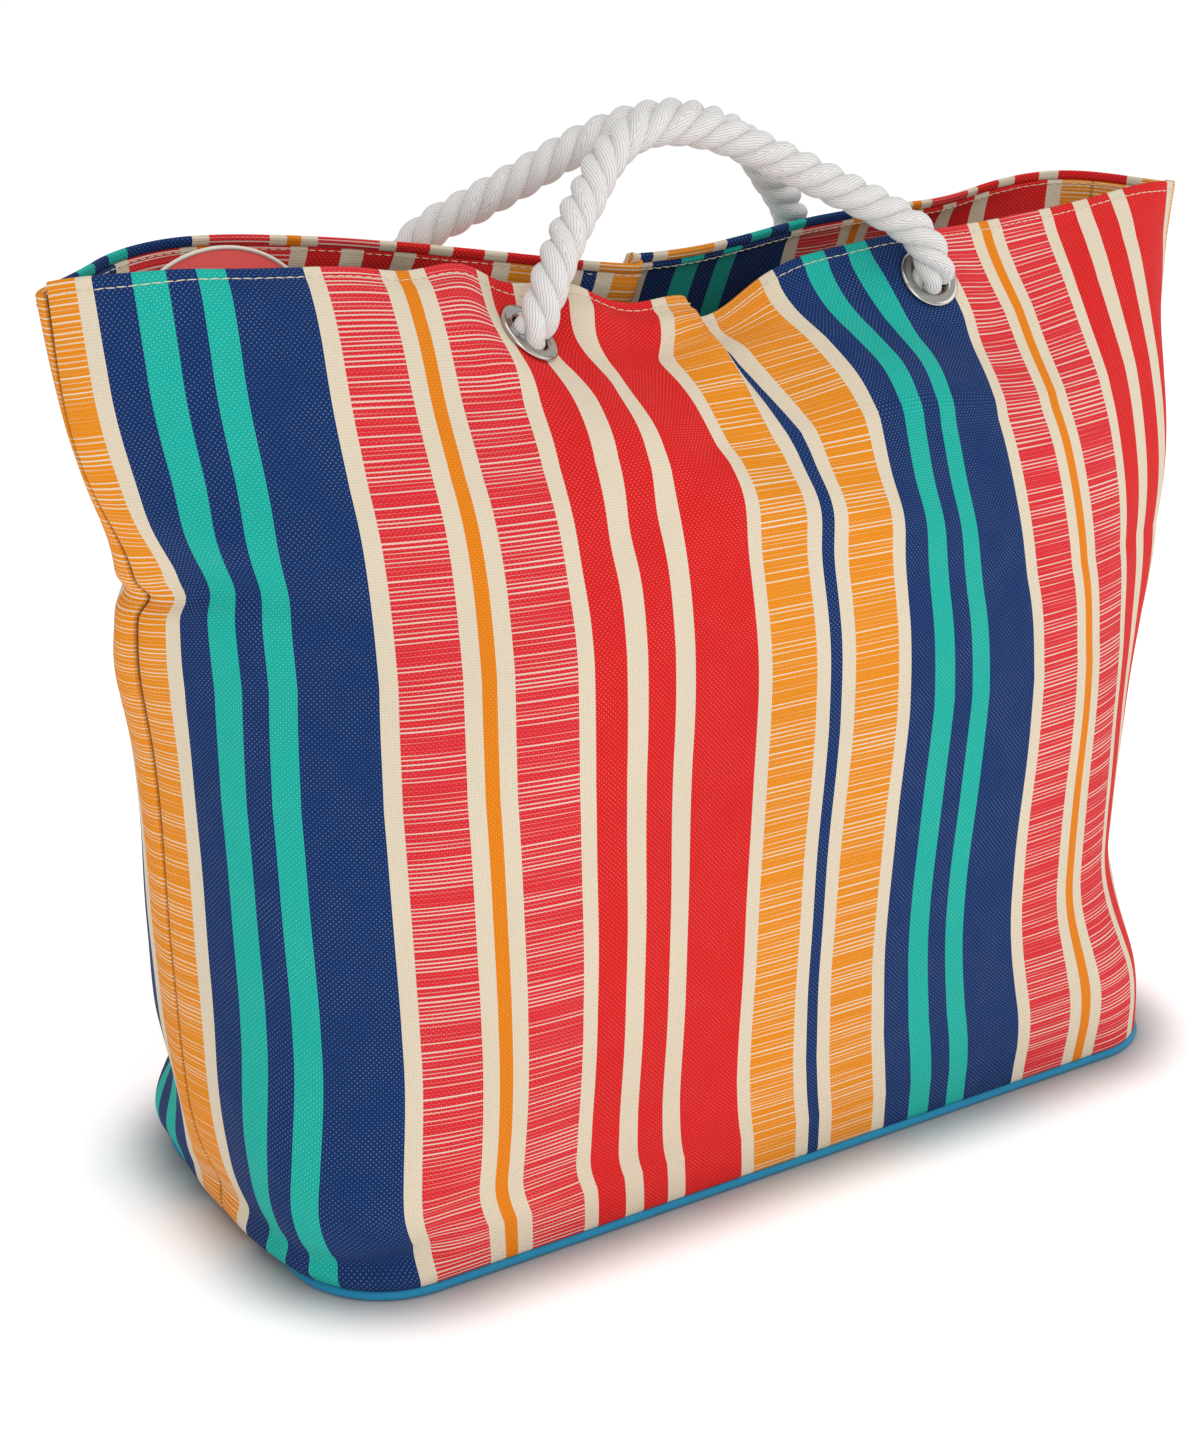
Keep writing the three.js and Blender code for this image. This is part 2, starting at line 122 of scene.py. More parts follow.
# How far the front cloth has slid to the right, by height fraction: (across, slide) pairs
SLIDES = [
    (0, [(0, 0), (60, 8), (110, 14), (230, 12), (330, 6), (480, 4), (676, 0)]),
    (0.05, [(0, 0), (60, 9), (110, 18), (230, 16), (330, 8), (480, 5), (676, 0)]),
    (0.13, [(0, 0), (60, 9), (110, 16), (230, 14), (330, 6), (480, 4), (676, 0)]),
    (0.5, [(0, 0), (60, -1), (110, 3), (300, 8), (470, 7), (676, 0)]),
    (0.78, [
        (0, 0), (30, -2), (60, -1.5), (110, 0.6), (169, 3), (206, 3.5), (233, 6), (258, 7), (294, 5.5),
        (329, 3.5), (345, 4.5), (386, 3.5), (402, 0), (440, -6), (472, -8.5), (507, -10.5),
        (530, -11.5), (560, -11), (583, -8), (620, -7), (676, 0),
    ]),
    (0.9, [
        (0, 0), (30, -3.5), (60, -2.5), (110, 0), (169, 2), (206, 4), (233, 6), (247, 2.5), (262, -2.5),
        (290, -7), (325, -8.5), (345, -4), (386, 2), (402, -1), (440, -1), (475, 0),
        (507, -4), (560, -12), (583, -13), (620, -10), (660, -6), (676, 0),
    ]),
    (1, [
        (0, 0), (30, -4), (110, 0), (300, -3), (390, -5), (470, -5), (600, -12), (640, -12),
        (660, -7), (676, 0),
    ]),
]
# Where an end of the bag is pressed in (or, below 0, stands out), at both panels' edges:
# (end, up, half height, reach across the cloth, push in)
PINCHES = [
    ("left", 336, 32, 37, 8),
    ("left", 325, 5, 30, 6),
    ("left", 8, 9, 60, -3.5),
    ("right", 108, 22, 40, 4),
    ("right", 338, 42, 60, -8),
]
PINCH_SIDES = {"left": 1, "right": -1}  # the way an end is pushed, along X
# The left end's foot hangs over the piping
SAG_OUT = 3.2
SAG_DOWN = 2.6
SAG_HEIGHT = 20
SAG_REACH = 52
# The cloth at the left seam stands out: how far the seam itself does, by height fraction,
# how far across the cloth that reaches, how much further each panel does beside the seam,
# and how far from the seam that is at its most
SEAM_STANDS = [(0, 0), (0.06, 2), (0.15, 5.5), (0.6, 5), (0.75, 3), (1, 0)]
SEAM_REACH = {"front": 16, "back": 60}
PANEL_STANDS = {
    "front": [(0, 0), (0.07, 1), (1, 1)],
    "back": [(0, 0), (0.07, 2), (0.3, 2.5), (0.5, 5.5), (0.7, 9), (0.85, 4), (1, 9)],
}
PANEL_PEAK = 15

# The pleat in each rim, where the cloth turns back on itself and out again: where it starts
# across, the cloth in each half turn, the cloth between the turns, the height fraction where
# it has opened out, and how far it slants to the right on its way down
PLEATS = {"front": (311, 4.4, 4.6, 0.80, 60), "back": (322, 3.6, 3.0, 0.84, 0)}

# Dents and ridges pressed into the cloth:
# (side, across, up, half length, half width, slant in degrees, push out)
DENTS = [
    ("front", 66, 14, 30, 7, -6, -2),
    ("front", 96, 13, 22, 8, 12, -5),
    ("front", 118, 24, 24, 10, 40, -2.5),
    ("front", 60, 6, 60, 5, -3, 3),
    ("front", 205, 34, 60, 12, -8, -2.5),
    ("front", 58, 326, 46, 9, -14, -4),
    ("front", 60, 352, 50, 14, -14, 5),
    ("front", 415, 385, 60, 34, -8, 15),
    ("front", 288, 420, 34, 20, 0, -14),
    ("front", 250, 372, 46, 24, -16, 9),
    ("front", 340, 330, 80, 15, -12, 6),
    ("front", 250, 345, 60, 13, 30, -3),
    ("front", 640, 108, 40, 14, 0, -5),
    ("front", 120, 350, 90, 16, -68, -3),
    ("front", 622, 275, 30, 110, 0, 11),
    ("back", 80, 62, 50, 30, 0, -12),
    ("back", 80, 95, 50, 60, 0, -3),
    ("back", 80, 235, 50, 40, 0, -3.5),
    ("back", 70, 22, 50, 14, 0, 6.5),
    ("back", 200, 330, 90, 18, 65, -4),
    ("back", 470, 340, 90, 18, -65, -4),
    ("back", 130, 30, 60, 12, 12, -4),
    ("back", 540, 34, 60, 12, -10, -4),
]

# The handles in their leaning planes: (along, above) from the middle of each axis
HANDLE_ROUTES = {
    "front": [
        (-98, 18), (-83, 37), (-68, 53), (-55, 67), (-38, 78), (-18, 81),
        (6, 76), (32, 62), (62, 44), (86, 29), (101, 15),
    ],
    "back": [
        (-106, 20), (-95, 33), (-78, 43), (-54, 57), (-28, 73), (-4, 83),
        (20, 86), (45, 80), (66, 69), (83, 52), (98, 36), (107, 20),
    ],
}

# Stripes from the left seam: (colour, width). A colour whose name ends in slub carries
# cream slub lines.
HALF_REPEAT = [
    ("cream", 7.5), ("navy", 16.5), ("teal", 12.6), ("navy", 12), ("teal", 12.6),
    ("navy", 33), ("cream", 8), ("coral_slub", 27), ("cream", 8), ("orange", 6.8),
    ("cream", 8), ("coral_slub", 29.5), ("cream", 8), ("red", 16), ("cream", 11),
    ("red", 14), ("cream", 11), ("red", 36), ("cream", 7.3),
]
CENTRE_REPEAT = [
    ("orange_slub", 27.5), ("cream", 8), ("navy", 5.6), ("cream", 8), ("orange_slub", 27.5),
]
SEAM_STRIPE = [("orange_slub", 17)]
STRIPES = SEAM_STRIPE + HALF_REPEAT + CENTRE_REPEAT + HALF_REPEAT + SEAM_STRIPE
COLOURS = {
    "cream": (0.76, 0.655, 0.50),
    "navy": (0.002, 0.031, 0.140),
    "teal": (0.006, 0.44, 0.36),
    "orange": (0.80, 0.225, 0.003),
    "orange_slub": (0.82, 0.265, 0.004),
    "red": (0.70, 0.012, 0.014),
    "coral_slub": (0.72, 0.022, 0.034),
}
CREAM_THREAD = (0.84, 0.76, 0.62)  # the slub lines
WARM_THREAD = (0.84, 0.68, 0.42)  # what the raised threads are tinted with


# ---------------------------------------------------------------- shape

def smooth(x):
    x = np.clip(x, 0, 1)
    return x * x * (3 - 2 * x)


def unit(v):
    return v / np.linalg.norm(v, axis=-1, keepdims=True)


def profile(at, pairs):
    """A smooth curve through (position, value) pairs."""
    x, y = np.array(pairs, float).T
    at = np.clip(at, x[0], x[-1])
    i = np.clip(np.searchsorted(x, at) - 1, 0, len(x) - 2)
    slope = np.concatenate((
        [(y[1] - y[0]) / (x[1] - x[0])],
        (y[2:] - y[:-2]) / (x[2:] - x[:-2]),
        [(y[-1] - y[-2]) / (x[-1] - x[-2])],
    ))
    step = x[i + 1] - x[i]
    f = (at - x[i]) / step
    return (
        (2 * f**3 - 3 * f**2 + 1) * y[i] + (f**3 - 2 * f**2 + f) * slope[i] * step
        + (3 * f**2 - 2 * f**3) * y[i + 1] + (f**3 - f**2) * slope[i + 1] * step
    )


def pleat_heading(side, across, height):
    """How far the cloth has turned on itself, in radians, at each point of the pleat."""
    start, turn, back, fade, drift = PLEATS[side]
    closed = np.clip((height - fade) / (0.985 - fade), 0, 1) ** 1.8
    wide = turn * (1 + 2 * (1 - closed))
    angles = np.linspace(0, math.pi, 90)
    eased = smooth((np.arange(40)[:, None] + 0.5) / 40)
    taken = (1 - np.cos(angles * eased)).mean(axis=0)
    flat = back * (1 - np.cos(angles))
    most = 2 * (back + turn)
    amount = np.array([
        np.interp(most * share, flat + 2 * width * taken, angles)
        for share, width in zip(closed[:, 0], wide[:, 0])])[:, None]
    first = start + drift * (1 - height)
    rise = smooth((across - first) / wide + 0.5)
    fall = smooth((across - first - wide - back) / wide + 0.5)
    return amount * (rise - fall)


class Panel:
    """One body panel's cloth as it stands: its outer face and the way out of the bag."""

    def __init__(self, side, columns, rows, detailed):
        self.side, self.columns, self.rows = side, columns, rows
        self.outward = -1 if side == "front" else 1
        self.points = self.standing(detailed)
        self.find_out()

    def standing(self, detailed):
        height = np.linspace(0, 1, self.rows + 1)[:, None]
        step = CLOTH_WIDTH / self.columns
        s = (np.arange(self.columns)[None, :] + 0.5) * step
        left_x, left_y = profile(height, LEFT_SEAM_X), profile(height, LEFT_SEAM_Y)
        right_x, right_y = profile(height, RIGHT_SEAM_X), profile(height, RIGHT_SEAM_Y)
        face_y = profile(height, FRONT_Y if self.side == "front" else BACK_Y)
        bend = profile(height, CORNER_BEND)
        seam_angle = np.radians(profile(height, SEAM_ANGLE))
        fade = profile(height, CORNER_FADE)
        part = (np.arange(24)[None, :] + 0.5) / 24
        reach = np.sin(seam_angle * (1 - part) ** fade).mean(axis=1, keepdims=True)

        def corner(depth, from_seam):
            length = np.minimum(bend, depth / reach)
            straight = np.maximum(0, (depth - length * reach) / np.sin(seam_angle))
            return seam_angle * (1 - np.clip((from_seam - straight) / length, 0, 1)) ** fade

        turn = corner(abs(face_y - left_y), s) - corner(abs(face_y - right_y), CLOTH_WIDTH - s)
        slope = self.outward * np.sin(turn)
        folds = list(SOFT_FOLDS[self.side])
        if self.side == "front" and not detailed:
            folds.append(PLAIN_TUCK)
        for across, half, push, start in folds:
            q = (s - across) / half
            slope = slope - smooth((height - start) / (1 - start)) * push * 2 * q / half * np.exp(-q * q)
        heading = np.arcsin(np.clip(slope, -0.99999, 0.99999))
        if detailed:
            heading = heading + pleat_heading(self.side, s, height)
        edge = np.zeros_like(height)
        x = np.hstack((edge, np.cumsum(step * np.cos(heading), axis=1)))
        y = np.hstack((edge, np.cumsum(step * np.sin(heading), axis=1)))
        along = np.linspace(0, 1, self.columns + 1)[None, :]
        x = left_x + x * (right_x - left_x) / x[:, -1:]
        y = left_y + y + (right_y - left_y - y[:, -1:]) * along
        if self.side == "front" and detailed:
            x, y = self.slid(height, along * CLOTH_WIDTH, x, y)
        z = self.levels(x, y)
        if detailed:
            across = along * CLOTH_WIDTH
            for middle, half, start, lift in RIM_LIFTS[self.side]:
                grown = smooth((height - start) / (1 - start))
                z = z + lift * grown * np.exp(-((across - middle) / half) ** 2)
            for end, up, half, reach, push in PINCHES:
                from_end = across if end == "left" else CLOTH_WIDTH - across
                near = np.exp(-((height * CLOTH_HEIGHT - up) / half) ** 2 - (from_end / reach) ** 2)
                x = x + near * push * PINCH_SIDES[end]
            reach = SEAM_REACH[self.side]
            x = x - profile(height, SEAM_STANDS) * np.exp(-((across / reach) ** 2))
            low = 1 - smooth(height * CLOTH_HEIGHT / SAG_HEIGHT)
            sag = low * np.exp(-((across / SAG_REACH) ** 4))
            x = x - SAG_OUT * sag
            z = z - SAG_DOWN * sag
            beside = across / PANEL_PEAK * np.exp(1 - across / PANEL_PEAK)
            x = x - profile(height, PANEL_STANDS[self.side]) * beside
        return np.dstack((x, y, z))

    def slid(self, height, across, x, y):
        """The cloth moved sideways along its own outline, row by row."""
        place = across
        for (low, first), (high, last) in zip(SLIDES, SLIDES[1:]):
            share = np.clip((height - low) / (high - low), 0, 1)
            here = ((height > low) | (low == 0)) & (height <= high)
            slide = (1 - share) * profile(across, first) + share * profile(across, last)
            place = place + here * slide
        rows = range(self.rows + 1)
        return [np.array([np.interp(place[r], across[0], line[r]) for r in rows]) for line in (x, y)]

    def levels(self, x, y):
        """The cloth keeps its height too, so leaning in lowers it and creases take some up."""
        rise = CLOTH_HEIGHT / self.rows
        rate = CREASE_TAKES / (CREASE_SPREAD * math.sqrt(math.pi) * CLOTH_HEIGHT)
        i = np.arange(self.columns + 1)
        from_seam = np.minimum(i, self.columns - i) / self.columns * CLOTH_WIDTH / CREASE_WIDTH
        z = np.full_like(x, PIPING_DIAMETER + CLOTH_GAP)
        for r in range(1, self.rows + 1):
            from_crease = (r / self.rows - CREASE_HEIGHT) / CREASE_SPREAD
            length = rise * (1 - rate * np.exp(-from_seam**2 - from_crease**2))
            run = (x[r] - x[r - 1]) ** 2 + (y[r] - y[r - 1]) ** 2
            dz = np.sqrt(np.maximum(length**2 - run, length**2 / 25))
            z[r] = z[r - 1] + dz
        return z

    def find_out(self):
        down_rows = np.gradient(self.points, axis=0)
        along_columns = np.gradient(self.points, axis=1)
        out = unit(np.cross(along_columns, down_rows))
        self.out = out if self.side == "front" else -out

    def push(self, amounts):
        """Moves each point of the cloth out of the bag by its amount."""
        self.points = self.points + self.out * amounts[..., None]
        self.find_out()

    def lookup(self, grid, across, up):
        c = np.clip(across / CLOTH_WIDTH * self.columns, 0, self.columns - 1e-6)
        r = up / CLOTH_HEIGHT * self.rows
        i, j = c.astype(int), np.clip(r.astype(int), 0, self.rows - 1)
        fc, fr = (c - i)[..., None], (r - j)[..., None]
        low = grid[j, i] * (1 - fc) + grid[j, i + 1] * fc
        high = grid[j + 1, i] * (1 - fc) + grid[j + 1, i + 1] * fc
        return low * (1 - fr) + high * fr

    def at(self, across, up, depth=0.0):
        """Points at a depth under the outer face."""
        across, up, depth = np.broadcast_arrays(
            np.asarray(across, float), np.asarray(up, float), np.asarray(depth, float))
        out = unit(self.lookup(self.out, across, np.clip(up, 0, CLOTH_HEIGHT)))
        return self.lookup(self.points, across, up) - out * depth[..., None]

    def grid(self):
        """The across and up of every point."""
        across = np.linspace(0, CLOTH_WIDTH, self.columns + 1)[None, :]
        up = np.linspace(0, CLOTH_HEIGHT, self.rows + 1)[:, None]
        return np.broadcast_arrays(across, up)


class Eyelet:
    """Where one eyelet sits on the plain form of the cloth, and the way out through it.

    plain_out is square to the cloth, and out is turned as the cloth's slack turns the eyelet.
    """

    def __init__(self, panel, name, across):
        self.side, self.name = panel.side, f"{panel.side}_{name}"
        up = CLOTH_HEIGHT - EYELET_BELOW_RIM[panel.side]
        self.origin = panel.at(across, up)
        reach = 4  # the cloth this far each way sets the plane
        along = unit(panel.at(across + reach, up) - panel.at(across - reach, up))
        above = unit(panel.at(across, up + reach) - panel.at(across, up - reach))
        out = unit(np.cross(along, above))
        out = out if panel.side == "front" else -out
        self.plain_out = out
        self.axis_point = self.origin + out * ROPE_REACH
        right, rise = np.tan(np.radians(EYELET_TURNS.get(self.name, (0, 0))))
        self.out = unit(out + right * along + rise * above)


def wrinkles(side, across, up):
    """Small uneven waves of the cloth, in millimetres."""
    phase = 0.0 if side == "front" else 2.1
    wide = np.sin(across / 37 + up / 61 + phase) * np.sin(up / 43 - across / 97 + 1.3 * phase)
    fine = np.sin(across / 17 - up / 29 + phase) * np.sin(up / 19 + across / 41 + phase)
    edge = smooth(np.minimum(across, CLOTH_WIDTH - across) / 30) * smooth(up / 30)
    return (1.1 * wide + 0.35 * fine) * edge


def dents(side, across, up):
    """How far the dents and ridges push each point out, fading to nothing at the edges."""
    total = np.zeros(across.shape)
    for at_side, middle, level, half_length, half_width, slant, push in DENTS:
        if at_side == side:
            c, s = math.cos(math.radians(slant)), math.sin(math.radians(slant))
            along = ((across - middle) * c + (up - level) * s) / half_length
            beside = ((up - level) * c - (across - middle) * s) / half_width
            total += push * np.exp(-along**2 - beside**2)
    from_seam = np.minimum(across, CLOTH_WIDTH - across)
    return total * smooth(up / 8) * smooth(from_seam / 16)


def flatten(panel, eyelets):
    """Lays the cloth flat around each eyelet, easing out further off."""
    for eyelet in eyelets:
        if eyelet.side == panel.side:
            offset = panel.points - eyelet.origin
            far = np.linalg.norm(offset, axis=-1)
            weight = 1 - smooth((far - 16) / 28)
            height = offset @ eyelet.out
            panel.points = panel.points - eyelet.out * (weight * height)[..., None]
    panel.find_out()


SIDES = ("front", "back")
PLAIN = {side: Panel(side, 168, 60, detailed=False) for side in SIDES}
EYELETS = [
    Eyelet(PLAIN[side], name, CLOTH_WIDTH / 2 + half * HANDLE_SPAN)
    for side in SIDES for name, half in (("left", -0.5), ("right", 0.5))
]
PANELS = {side: Panel(side, 300, 200, detailed=True) for side in SIDES}
for panel in PANELS.values():
    panel.push(dents(panel.side, *panel.grid()) + wrinkles(panel.side, *panel.grid()))
    flatten(panel, EYELETS)


# ---------------------------------------------------------------- meshes

def make_mesh(name, points, faces, uv=None, material=None):
    """A mesh object from points in millimetres. uv holds one pair for each point."""
    mesh = bpy.data.meshes.new(name)
    points = np.asarray(points, float).reshape(-1, 3) * MM
    faces = np.asarray(faces, int)
    mesh.from_pydata(points.tolist(), [], faces.tolist())
    if uv is not None:
        layer = mesh.uv_layers.new(name="cloth")
        corners = np.empty(len(mesh.loops), int)
        mesh.loops.foreach_get("vertex_index", corners)
        layer.data.foreach_set("uv", (np.asarray(uv, float).reshape(-1, 2) * MM)[corners].ravel())
    mesh.polygons.foreach_set("use_smooth", [True] * len(mesh.polygons))
    mesh.update()
    piece = bpy.data.objects.new(name, mesh)
    bpy.context.scene.collection.objects.link(piece)
    if material is not None:
        mesh.materials.append(material)
    return piece


def grid_faces(rows, columns, around=False, start=0):
    """Quads over a grid of points. With around, the last column joins the first."""
    r = np.arange(rows - 1)[:, None]
    c = np.arange(columns if around else columns - 1)[None, :]
    a = r * columns + c
    b = r * columns + (c + 1) % columns
    return start + np.stack((a, b, b + columns, a + columns), axis=-1).reshape(-1, 4)


def turned(pairs, segments, origin, direction):
    """Rings of points turned about a direction from (radius, height) pairs."""
    direction = unit(np.asarray(direction, float))
    side = unit(np.cross(direction, UP if abs(direction[2]) < 0.9 else np.array([1.0, 0, 0])))
    other = np.cross(direction, side)
    angle = np.linspace(0, 2 * math.pi, segments, endpoint=False)[None, :, None]
    radius, height = np.array(pairs, float).T
    ring = np.cos(angle) * side + np.sin(angle) * other
    return origin + radius[:, None, None] * ring + height[:, None, None] * direction


def spline(points, spacing):
    """Evenly spaced points on a smooth curve through the given points."""
    p = np.array(points, float)
    p = np.vstack((2 * p[0] - p[1], p, 2 * p[-1] - p[-2]))
    t = np.linspace(0, 1, 40, endpoint=False)[:, None]
    pieces = []
    for i in range(1, len(p) - 2):
        a, b, c, d = p[i - 1:i + 3]
        pieces.append(0.5 * (
            2 * b + (c - a) * t + (2 * a - 5 * b + 4 * c - d) * t**2
            + (3 * b - a - 3 * c + d) * t**3))
    fine = np.vstack(pieces + [p[-2:-1]])
    return resample(fine, spacing)


def resample(fine, spacing):
    run = np.concatenate(([0], np.cumsum(np.linalg.norm(np.diff(fine, axis=0), axis=1))))
    count = max(2, round(run[-1] / spacing))
    at = np.linspace(0, run[-1], count + 1)
    return np.stack([np.interp(at, run, fine[:, k]) for k in range(3)], axis=1)


ACROSS_PATHS = (0.31, 0.9, 0.3)  # a direction that no path starts in


def carried_frames(path):
    """Tangent, side and other direction along a path, turning as little as they can."""
    tangent = unit(np.gradient(path, axis=0))
    side = np.empty_like(path)
    side[0] = unit(np.cross(tangent[0], ACROSS_PATHS))
    for i in range(1, len(path)):
        side[i] = unit(side[i - 1] - tangent[i] * (side[i - 1] @ tangent[i]))
    return tangent, side, np.cross(tangent, side)


def tube(path, radius, sides):
    """Rings of a round tube along a path. radius is one number or one for each point."""
    _, side, other = carried_frames(path)
    angle = np.linspace(0, 2 * math.pi, sides, endpoint=False)[None, :, None]
    radius = np.broadcast_to(np.asarray(radius, float), (len(path),))[:, None, None]
    return path[:, None] + radius * (np.cos(angle) * side[:, None] + np.sin(angle) * other[:, None])


def joined_tubes(tubes):
    """Points, faces and uvs of several tubes, open at their ends. Each uv is (round, along)."""
    points, faces, uvs, start = [], [], [], 0
    for rings in tubes:
        rows, sides = rings.shape[:2]
        along = np.concatenate((
            [0], np.cumsum(np.linalg.norm(np.diff(rings.mean(axis=1), axis=0), axis=1))))
        points.append(rings.reshape(-1, 3))
        faces.append(grid_faces(rows, sides, around=True, start=start))
        uvs.append(np.stack(np.broadcast_arrays(
            np.abs(np.arange(sides) / sides - 0.5)[None, :] * 30, along[:, None]), axis=-1).reshape(-1, 2))
        start += rows * sides
    return np.vstack(points), np.vstack(faces), np.vstack(uvs)


# ---------------------------------------------------------------- materials

class Nodes:
    """Short calls that add shader nodes to one material."""

    def __init__(self, name):
        self.material = bpy.data.materials.new(name)
        self.material.use_nodes = True
        self.tree = self.material.node_tree
        self.shader = self.tree.nodes["Principled BSDF"]

    def add(self, kind, inputs=None, **settings):
        node = self.tree.nodes.new(kind)
        for key, value in settings.items():
            setattr(node, key, value)
        for key, value in (inputs or {}).items():
            self.set(node.inputs[key], value)
        return node

    def set(self, socket, value):
        if isinstance(value, bpy.types.NodeSocket):
            self.tree.links.new(value, socket)
        elif hasattr(value, "__len__") and len(value) == 3 and socket.type == "RGBA":
            socket.default_value = (*value, 1)
        else:
            socket.default_value = value

    def math(self, operation, a, b=0.0, clamp=False):
        node = self.add("ShaderNodeMath", {0: a, 1: b}, operation=operation, use_clamp=clamp)
        return node.outputs[0]

    def mix(self, factor, a, b):
        node = self.add("ShaderNodeMix", data_type="RGBA")
        self.set(node.inputs["Factor"], factor)
        self.set(node.inputs[6], a)
        self.set(node.inputs[7], b)
        return node.outputs[2]

    def step(self, value, low, high, first=0.0, last=1.0):
        node = self.add("ShaderNodeMapRange", {
            "Value": value, "From Min": low, "From Max": high, "To Min": first, "To Max": last,
        }, interpolation_type="SMOOTHSTEP")
        return node.outputs["Result"]

    def spread(self, x, x_scale, y, y_scale):
        """A flat place for noise from two scaled numbers."""
        return self.add("ShaderNodeCombineXYZ", {
            0: self.math("MULTIPLY", x, x_scale), 1: self.math("MULTIPLY", y, y_scale)}).outputs[0]

    def uv(self):
        split = self.add("ShaderNodeSeparateXYZ", {
            0: self.add("ShaderNodeUVMap", uv_map="cloth").outputs[0]})
        return split.outputs[0], split.outputs[1]

    def place(self):
        return self.add("ShaderNodeTexCoord").outputs["Object"]

    def noise(self, vector, scale, detail=2.0, kind="3D"):
        return self.add("ShaderNodeTexNoise", {
            "Vector": vector, "Scale": scale, "Detail": detail,
        }, noise_dimensions=kind).outputs["Fac"]

    def wave(self, value, period):
        return self.math("SINE", self.math("MULTIPLY", value, 2 * math.pi / (period * MM)))

    def bump(self, height, distance, strength=1.0):
        node = self.add("ShaderNodeBump", {
            "Height": height, "Distance": distance * MM, "Strength": strength})
        self.set(self.shader.inputs["Normal"], node.outputs[0])

    def finish(self, **sockets):
        for name, value in sockets.items():
            self.set(self.shader.inputs[name.replace("_", " ")], value)
        return self.material


THREAD_ACROSS = 2.3  # two warp threads
THREAD_UP = 2.35  # two weft threads
SLUB_PITCH = 2.0  # from one cream weft line to the next in a slub stripe


def weave(nodes, u, v):
    """1 on the threads that lie on top, in a staggered grid, and 0 between them."""
    over = nodes.math("MULTIPLY", nodes.wave(u, THREAD_ACROSS), nodes.wave(v, THREAD_UP))
    return nodes.step(over, 0.45, 0.95), nodes.math("ABSOLUTE", over)


def stripe_ramp(nodes, u, stripes):
    """The stripes over one half of the cloth's width. Alpha is 1 where the stripe has slubs."""
    ramp = nodes.add("ShaderNodeValToRGB", {"Fac": u})
    elements = ramp.color_ramp.elements
    ramp.color_ramp.interpolation = "CONSTANT"
    elements.remove(elements[1])
    for i, (position, key) in enumerate(stripes):
        element = elements[0] if i == 0 else elements.new(position)
        element.position = position
        element.color = (*COLOURS[key], 1.0 if key.endswith("slub") else 0.0)
    return ramp.outputs["Color"], ramp.outputs["Alpha"]


def half_stripes(first):
    """(position, colour key) pairs over the left or the right half of the cloth."""
    total = sum(width for _, width in STRIPES)
    pairs, start = [], 0.0
    low = 0.0 if first else 0.5
    for key, width in STRIPES:
        end = start + width / total
        if end > low and start < low + 0.5:
            pairs.append((max(0.0, (start - low) * 2), key))
        start = end
    return pairs


def striped_canvas():
    nodes = Nodes("striped canvas")
    u, v = nodes.uv()
    share = nodes.math("FRACT", nodes.math("DIVIDE", u, CLOTH_WIDTH * MM))
    twice = nodes.math("MULTIPLY", share, 2.0)
    left, left_slub = stripe_ramp(nodes, twice, half_stripes(True))
    right, right_slub = stripe_ramp(nodes, nodes.math("SUBTRACT", twice, 1.0), half_stripes(False))
    on_right = nodes.math("GREATER_THAN", share, 0.5)
    colour = nodes.mix(on_right, left, right)
    slub = nodes.add("ShaderNodeMix", {2: left_slub, 3: right_slub})
    nodes.set(slub.inputs[0], on_right)
    # slub lines: cream weft lines across a stripe, of uneven width, strength and spacing
    drift = nodes.noise(nodes.spread(0.0, 1.0, v, 90.0), 1.0, 1.0, "2D")
    laid = nodes.math("ADD", nodes.math("DIVIDE", v, SLUB_PITCH * MM), nodes.math("MULTIPLY", drift, 1.6))
    row = nodes.math("FLOOR", laid)
    from_line = nodes.math("ABSOLUTE", nodes.math("SUBTRACT", nodes.math("FRACT", laid), 0.5))
    chance = nodes.noise(nodes.spread(u, 6.0, row, 3.71), 1.0, 0.0, "2D")
    half_width = nodes.step(chance, 0.3, 0.72, 0.04, 0.175)
    inside = nodes.math("SUBTRACT", half_width, from_line)
    line = nodes.step(inside, -0.05, 0.05)
    strength = nodes.step(chance, 0.28, 0.62, 0.12, 0.8)
    line = nodes.math("MULTIPLY", nodes.math("MULTIPLY", line, strength), slub.outputs[0])
    colour = nodes.mix(line, colour, CREAM_THREAD)
    dots, relief = weave(nodes, u, v)
    patchy = nodes.noise(nodes.place(), 60.0, 3.0)
    share_of_dots = nodes.math("MULTIPLY", dots, nodes.step(patchy, 0.2, 0.8, 0.4, 1.0))
    lighter = nodes.mix(0.24, colour, WARM_THREAD)
    # painted shade: the colour darkens towards near black in the low gaps between the woven threads
    painted_gap_shade = nodes.step(relief, 0.0, 0.22, 0.22, 0.0)
    colour = nodes.mix(painted_gap_shade, colour, (0.01, 0.01, 0.02))
    colour = nodes.mix(share_of_dots, colour, lighter)
    shade = nodes.step(nodes.noise(nodes.place(), 9.0, 4.0), 0.2, 0.8)
    colour = nodes.mix(nodes.math("MULTIPLY", shade, 0.07), colour, (0.02, 0.02, 0.03))
    # the side seams: painted shade in their crease, darkest at the seam line with its needle holes
    width = CLOTH_WIDTH * MM
    from_edge = nodes.math("MINIMUM", share, nodes.math("SUBTRACT", 1.0, share))
    from_seam = nodes.math("MULTIPLY", from_edge, width)
    shadow = nodes.step(from_seam, 0.3 * MM, 1.5 * MM, 0.4, 0.0)
    colour = nodes.mix(shadow, colour, (0.05, 0.02, 0.01))
    nodes.bump(relief, 0.16, 0.7)
    return nodes.finish(Base_Color=colour, Roughness=0.85, Sheen_Weight=0.01, Specular_IOR_Level=0.12)


